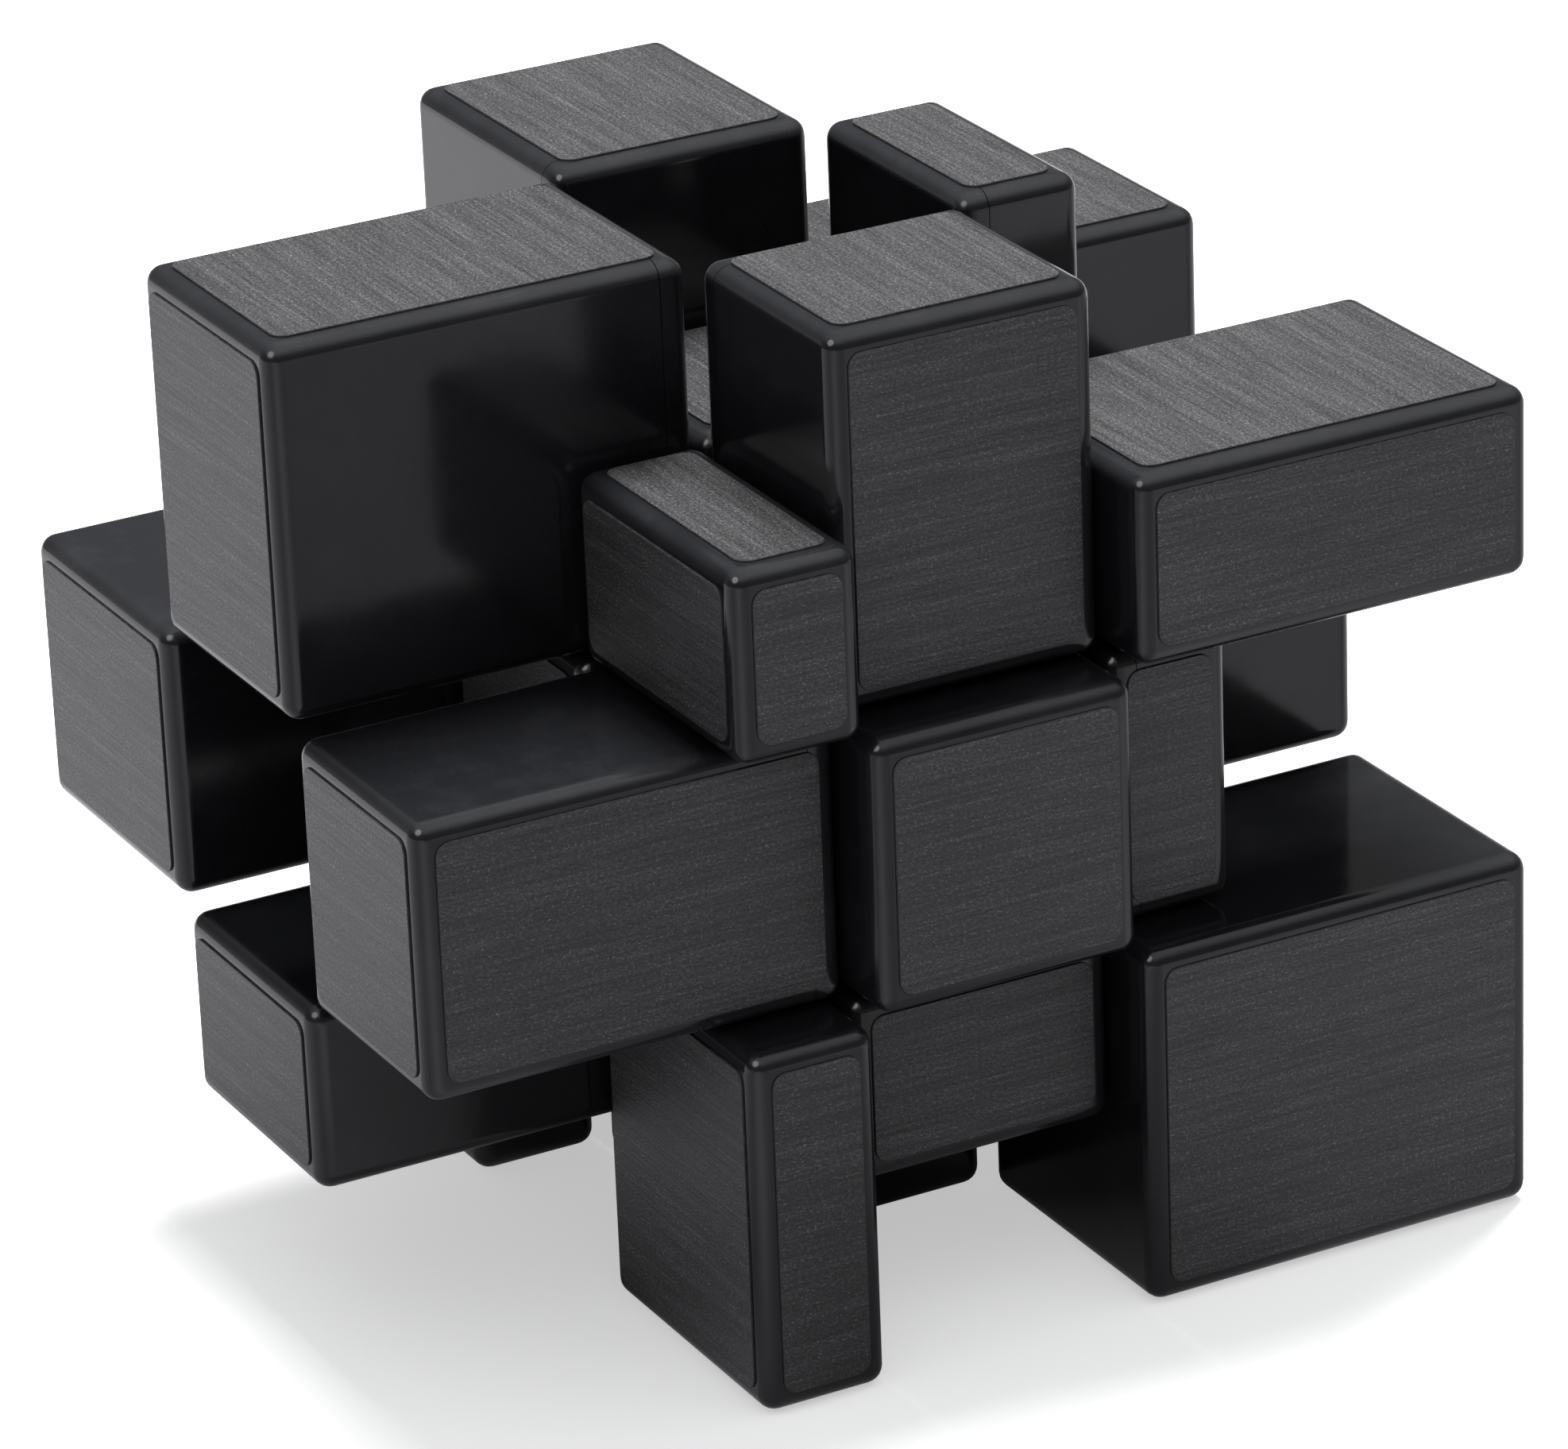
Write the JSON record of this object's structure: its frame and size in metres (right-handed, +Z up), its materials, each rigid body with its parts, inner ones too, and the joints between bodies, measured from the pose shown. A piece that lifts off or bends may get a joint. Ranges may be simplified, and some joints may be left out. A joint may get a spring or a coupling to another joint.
{
  "type": "mirror block cube puzzle",
  "caption": "Twisty block puzzle with layers of unequal thickness, in its stepped checkerboard pattern; the top and bottom layers turn about the vertical axis.",
  "frame": {"origin": "centre of the core, where the three turning axes cross; it is also the centre of the box around the stepped blocks", "axes": "+X right, towards the farthest-reaching corners; -Y front; +Z up along the axis that the top and bottom layers turn about"},
  "size_m": [0.077, 0.061, 0.069],
  "materials": {
    "block_plastic": "glossy moulded black plastic, softly reflective cut faces",
    "sticker_film": "black brushed film stickers with fine parallel lines and sparkle",
    "core_plastic": "satin moulded black plastic",
    "fastener_steel": "plain steel screw and spring wire"
  },
  "bodies": {
    "middle_layer": {"core": "core_plastic", "screw_left": "fastener_steel", "screw_right": "fastener_steel", "screw_front": "fastener_steel", "screw_back": "fastener_steel", "screw_bottom": "fastener_steel", "screw_top": "fastener_steel", "spring_left": "fastener_steel", "spring_right": "fastener_steel", "spring_front": "fastener_steel", "spring_back": "fastener_steel", "spring_bottom": "fastener_steel", "spring_top": "fastener_steel", "centre_left_base": "block_plastic", "centre_left_cap": "block_plastic", "centre_right_base": "block_plastic", "centre_right_cap": "block_plastic", "centre_front_base": "block_plastic", "centre_front_cap": "block_plastic", "centre_back_base": "block_plastic", "centre_back_cap": "block_plastic", "edge_left_front_shell": "block_plastic", "edge_left_front_plate": "block_plastic", "edge_left_back_shell": "block_plastic", "edge_left_back_plate": "block_plastic", "edge_right_front_shell": "block_plastic", "edge_right_front_plate": "block_plastic", "edge_right_back_shell": "block_plastic", "edge_right_back_plate": "block_plastic"},
    "top_layer": {"centre_top_base": "block_plastic", "centre_top_cap": "block_plastic", "edge_front_top_shell": "block_plastic", "edge_front_top_plate": "block_plastic", "edge_back_top_shell": "block_plastic", "edge_back_top_plate": "block_plastic", "edge_left_top_shell": "block_plastic", "edge_left_top_plate": "block_plastic", "edge_right_top_shell": "block_plastic", "edge_right_top_plate": "block_plastic", "corner_left_front_top": "block_plastic", "corner_left_back_top": "block_plastic", "corner_right_front_top": "block_plastic", "corner_right_back_top": "block_plastic"},
    "bottom_layer": {"centre_bottom_base": "block_plastic", "centre_bottom_cap": "block_plastic", "edge_front_bottom_shell": "block_plastic", "edge_front_bottom_plate": "block_plastic", "edge_back_bottom_shell": "block_plastic", "edge_back_bottom_plate": "block_plastic", "edge_left_bottom_shell": "block_plastic", "edge_left_bottom_plate": "block_plastic", "edge_right_bottom_shell": "block_plastic", "edge_right_bottom_plate": "block_plastic", "corner_left_front_bottom": "block_plastic", "corner_left_back_bottom": "block_plastic", "corner_right_front_bottom": "block_plastic", "corner_right_back_bottom": "block_plastic"}
  },
  "joints": [
    {"name": "top_layer_turn", "type": "hinge", "parent": "middle_layer", "child": "top_layer", "pos_m": [0, 0, 0], "axis": [0, 0, 1], "continuous": true},
    {"name": "bottom_layer_turn", "type": "hinge", "parent": "middle_layer", "child": "bottom_layer", "pos_m": [0, 0, 0], "axis": [0, 0, 1], "continuous": true}
  ]
}
